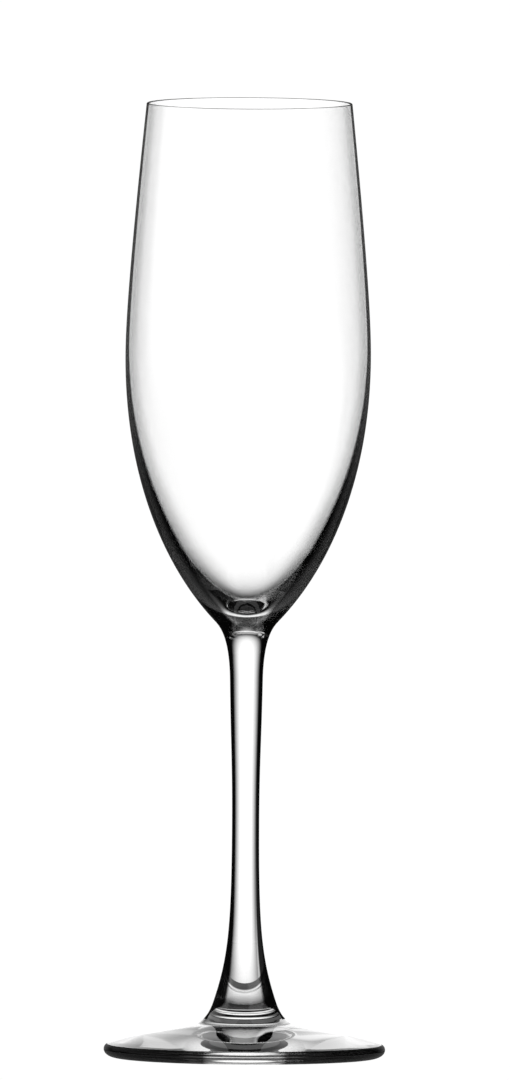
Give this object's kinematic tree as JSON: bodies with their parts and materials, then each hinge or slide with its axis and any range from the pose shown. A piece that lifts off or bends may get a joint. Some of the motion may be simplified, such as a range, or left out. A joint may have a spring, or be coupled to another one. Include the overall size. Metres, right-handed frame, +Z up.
{
  "type": "champagne flute",
  "caption": "Tall clear glass flute: a slender tulip bowl that narrows to the lip, a thin drawn stem that flares at both ends, and a low round foot.",
  "frame": {"origin": "centre of the flat ring that the foot stands on, at table height", "axes": "+Z up along the stem, through the centre of the bowl and the foot; the glass is round, so X and Y are free, and -Y is taken as the front"},
  "size_m": [0.072, 0.072, 0.2445],
  "materials": {
    "bowl_glass": "clear fire-polished crystal, blown thin",
    "stem_glass": "clear fire-polished crystal, drawn solid",
    "foot_glass": "clear fire-polished crystal, pressed with a rounded edge"
  },
  "bodies": {
    "root": {"bowl": "bowl_glass", "stem": "stem_glass", "foot": "foot_glass"}
  },
  "joints": []
}
